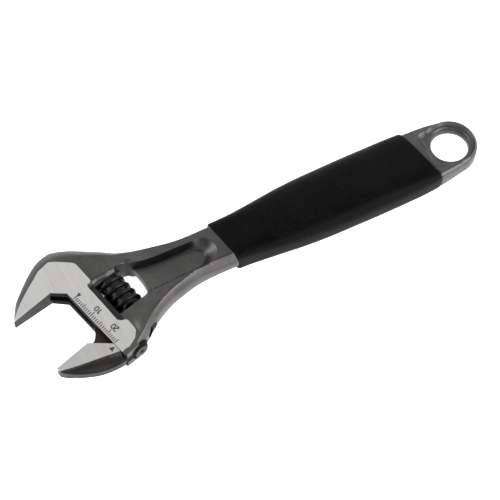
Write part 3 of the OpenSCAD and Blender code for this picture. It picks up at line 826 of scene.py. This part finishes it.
def section(x0, grow, k):
    """A point of the sleeve's skin on the slanted plane through x0, drawn in by grow."""
    a = 2 * math.pi * k / SIDES
    c, s = math.cos(a), math.sin(a)
    e = float(np.interp(x0, [14, 30, 55, 85, 106], [0.45, 0.62, 0.7, 0.6, 0.42]))
    u, v = math.copysign(abs(c) ** e, c), math.copysign(abs(s) ** e, s)
    x = x0 - SLANT * 12 * u
    wide = np.interp(x, SLEEVE[:, 0], SLEEVE[:, 1])
    thick = np.interp(x, SLEEVE[:, 0], SLEEVE[:, 2])
    y = HANDLE_Y + (wide - grow) * u
    return (x0 - SLANT * y, y, (thick - grow) * v)


def lining(x0, k):
    a = 2 * math.pi * k / SIDES
    thick = np.interp(x0, [8, 20, 60, 101, 110], [4.9, 4.9, 6.0, 5.2, 5.9])
    wide = np.interp(x0, SLEEVE[:, 0], SLEEVE[:, 1]) - 1.15
    y = HANDLE_Y + wide * math.cos(a)
    return (x0 - SLANT * y, y, (thick + 0.5) * math.sin(a))


ROUND = 0.9
stations = [(14.2 + ROUND * (1 - math.cos(t)), ROUND * (1 - math.sin(t)))
            for t in np.linspace(0, math.pi / 2, 6)]
stations += [(x, 0) for x in np.linspace(16.0, 104.6, 70)]
stations += [(106 - ROUND * (1 - math.cos(t)), ROUND * (1 - math.sin(t)))
             for t in np.linspace(math.pi / 2, 0, 6)]
verts = [section(x, g, k) for x, g in stations for k in range(SIDES)]
rows = len(stations)
for x in np.linspace(106, 14.2, 12):
    verts += [lining(x, k) for k in range(SIDES)]
total = rows + 12
faces = [(i * SIDES + k, i * SIDES + (k + 1) % SIDES, (i + 1) % total * SIDES + (k + 1) % SIDES,
          (i + 1) % total * SIDES + k) for i in range(total) for k in range(SIDES)]
sleeve = new_object("grip", verts, faces, sharp=60)
grip_mat, tree, shader, coord = nodes_for("grip_skin")
shader.inputs["Metallic"].default_value = 0.0
shader.inputs["Specular IOR Level"].default_value = 0.05
shader.inputs["Sheen Weight"].default_value = 0.1
shader.inputs["Sheen Roughness"].default_value = 0.35
grain = add(tree, "ShaderNodeTexVoronoi", Scale=1500, Randomness=1.0)
tree.links.new(coord.outputs["Object"], grain.inputs["Vector"])
mottle = noise(tree, coord.outputs["Object"], 700, 5.0, 0.7)
broad = noise(tree, coord.outputs["Object"], 45, 3.0, 0.5)
mix = add(tree, "ShaderNodeMix", data_type="FLOAT", Factor=0.35)
tree.links.new(mottle.outputs["Fac"], mix.inputs["A"])
tree.links.new(broad.outputs["Fac"], mix.inputs["B"])
colour = ramp(tree, mix.outputs["Result"],
              [(0.4, (0.0006, 0.0004, 0.0005)), (0.62, (0.0042, 0.0036, 0.0038))])
tree.links.new(colour.outputs["Color"], shader.inputs["Base Color"])
rough = ramp(tree, mix.outputs["Result"], [(0.3, 0.42), (0.75, 0.58)])
tree.links.new(rough.outputs["Color"], shader.inputs["Roughness"])
first = bump(tree, grain.outputs["Distance"], 0.3, 0.00008)
last = bump(tree, mottle.outputs["Fac"], 0.35, 0.0001, first)
tree.links.new(last.outputs["Normal"], shader.inputs["Normal"])
sleeve.data.materials.append(grip_mat)
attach(sleeve, "frame")
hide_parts("grip_sleeve")

# ---- etched marks ----

etch_mat, tree, shader, coord = nodes_for("etching")
shader.inputs["Metallic"].default_value = 0.1
patch = noise(tree, coord.outputs["Object"], 2600, 3.0, 0.6)
colour = ramp(tree, patch.outputs["Fac"], [(0.35, (0.022, 0.016, 0.013)), (0.7, (0.06, 0.046, 0.038))])
tree.links.new(colour.outputs["Color"], shader.inputs["Base Color"])
rough = ramp(tree, patch.outputs["Fac"], [(0.3, 0.55), (0.8, 0.75)])
tree.links.new(rough.outputs["Color"], shader.inputs["Roughness"])


def etched(name, strokes, body_name, opening=0.0, lift=0.02):
    """Thin marks on the ground face: each stroke is a flat polygon [m, n] of the jaw frame."""
    verts, faces = [], []
    for stroke in strokes:
        start = len(verts)
        for z in (-0.05, lift):
            for m, n in stroke:
                h = 2.55 + math.tan(math.radians(5.8)) * (REACH - m)
                verts.append((m, n + opening, h + z))
        count = len(stroke)
        faces.append(tuple(range(start, start + count))[::-1])
        faces.append(tuple(range(start + count, start + 2 * count)))
        faces += [(start + i, start + (i + 1) % count, start + count + (i + 1) % count, start + count + i)
                  for i in range(count)]
    obj = new_object(name, from_jaw(np.array(verts)), faces, sharp=30)
    obj.data.materials.append(etch_mat)
    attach(obj, body_name)
    return obj


def line(a, b, width):
    a, b = np.array(a, float), np.array(b, float)
    d = (b - a) / np.linalg.norm(b - a)
    s = np.array([-d[1], d[0]]) * width / 2
    return [a + s, a - s, b - s, b + s]


def numeral(which, at, size, width):
    """A numeral drawn with strokes; its foot is towards -m and it reads along -n."""
    def place(p):
        return (at[0] + p[1] * size, at[1] - p[0] * size)

    if which == "0":
        loop = [(0.3 + 0.28 * math.copysign(abs(math.cos(t)) ** 0.8, math.cos(t)), 0.5 + 0.44 * math.sin(t))
                for t in np.linspace(0, 2 * math.pi, 21)]
    elif which == "1":
        loop = [(0.1, 0.72), (0.34, 0.96), (0.34, 0.0)]
    else:
        loop = [(0.05, 0.74)] + [(0.3 + 0.25 * math.cos(t), 0.7 + 0.26 * math.sin(t))
                                 for t in np.linspace(2.7, -0.6, 8)] + [(0.04, 0.03), (0.58, 0.03)]
    pts = [place(p) for p in loop]
    return [line(a, b, width) for a, b in zip(pts[:-1], pts[1:])]


scale = []
for i in range(26):
    length = 2.6 if i % 10 == 0 else 2.1 if i % 5 == 0 else 1.5
    n = 8.4 + i * (34.1 - 8.4) / 25
    scale.append(line((-0.35, n), (-0.35 - length, n), 0.4))
scale.append([(-3.7, 7.6), (-3.7, 9.4), (-1.9, 8.6)])
for text, n in (("10", 18.7), ("20", 29.0)):
    for i, ch in enumerate(text):
        scale += numeral(ch, (-5.6, n + 1.8 - i * 1.65), 2.4, 0.5)
etched("scale_marks", scale, "frame")
etched("pointer_mark", [[(0.6, 8.6), (2.8, 7.5), (2.8, 9.7)]], "jaw", OPENING)

# ---- floor, light, camera ----

def area(name, place, aim, size, power, colour=(1, 1, 1)):
    light = bpy.data.lights.new(name, "AREA")
    light.shape = "RECTANGLE"
    light.size, light.size_y = size
    light.energy = power
    light.color = colour
    obj = bpy.data.objects.new(name, light)
    obj.location = place
    obj.rotation_euler = (Vector(aim) - Vector(place)).to_track_quat("-Z", "Y").to_euler()
    bpy.context.scene.collection.objects.link(obj)
    return obj


floor_mesh = bpy.data.meshes.new("floor")
half = 3.0
floor_z = -0.0095
floor_mesh.from_pydata([(-half, -half, floor_z), (half, -half, floor_z), (half, half, floor_z),
                        (-half, half, floor_z)], [], [(0, 1, 2, 3)])
floor = bpy.data.objects.new("floor", floor_mesh)
bpy.context.scene.collection.objects.link(floor)
floor_mat, tree, shader, coord = nodes_for("floor_paper")
tone = noise(tree, coord.outputs["Object"], 3, 2.0, 0.5)
colour = ramp(tree, tone.outputs["Fac"], [(0.3, 0.93), (0.7, 0.95)])
tree.links.new(colour.outputs["Color"], shader.inputs["Base Color"])
shader.inputs["Roughness"].default_value = 0.9
shader.inputs["Specular IOR Level"].default_value = 0.1
shader.inputs["Emission Color"].default_value = (1, 1, 1, 1)
shader.inputs["Emission Strength"].default_value = 0.85
floor.data.materials.append(floor_mat)

TILT = math.radians(29.5)
TURN = math.radians(206.6)
right = Vector((math.cos(TURN), -math.sin(TURN), 0))
away = Vector((math.sin(TURN), math.cos(TURN), 0))
look = away * math.sin(TILT) - Vector((0, 0, 1)) * math.cos(TILT)
up = right.cross(look)
target = -(right * 83.484917 + away * 49.30850854) * MM
camera = bpy.data.objects.new("camera", bpy.data.cameras.new("camera"))
camera.matrix_world = Matrix.Translation(target - look * 0.684) @ Matrix(
    (right, up, -look)).transposed().to_4x4()
camera.data.sensor_width = 36
camera.data.lens = 1690 / 500 * 36
camera.data.clip_start = 0.01
bpy.context.scene.collection.objects.link(camera)
bpy.context.scene.camera = camera

world = bpy.data.worlds.new("studio")
world.use_nodes = True
sky = world.node_tree
coord = sky.nodes.new("ShaderNodeTexCoord")
split = sky.nodes.new("ShaderNodeSeparateXYZ")
sky.links.new(coord.outputs["Generated"], split.inputs["Vector"])
shade = ramp(sky, split.outputs["Z"], [(0.0, 1.0), (0.32, 0.9), (0.55, 0.16), (1.0, 0.1)])
sky.links.new(shade.outputs["Color"], sky.nodes["Background"].inputs["Color"])
sky.nodes["Background"].inputs["Strength"].default_value = 2.2
bpy.context.scene.world = world
centre = target
area("softbox_back", centre + away * 0.42 + Vector((0, 0, 0.72)), centre, (1.1, 0.7), 2.3)
area("softbox_right", centre + right * 0.66 - away * 0.35 + Vector((0, 0, 0.32)), centre, (0.5, 0.6), 4.4)
area("softbox_left", centre - right * 0.62 + away * 0.05 + Vector((0, 0, 0.34)), centre, (0.4, 0.4), 2.4)
bpy.context.scene.view_settings.view_transform = "Standard"
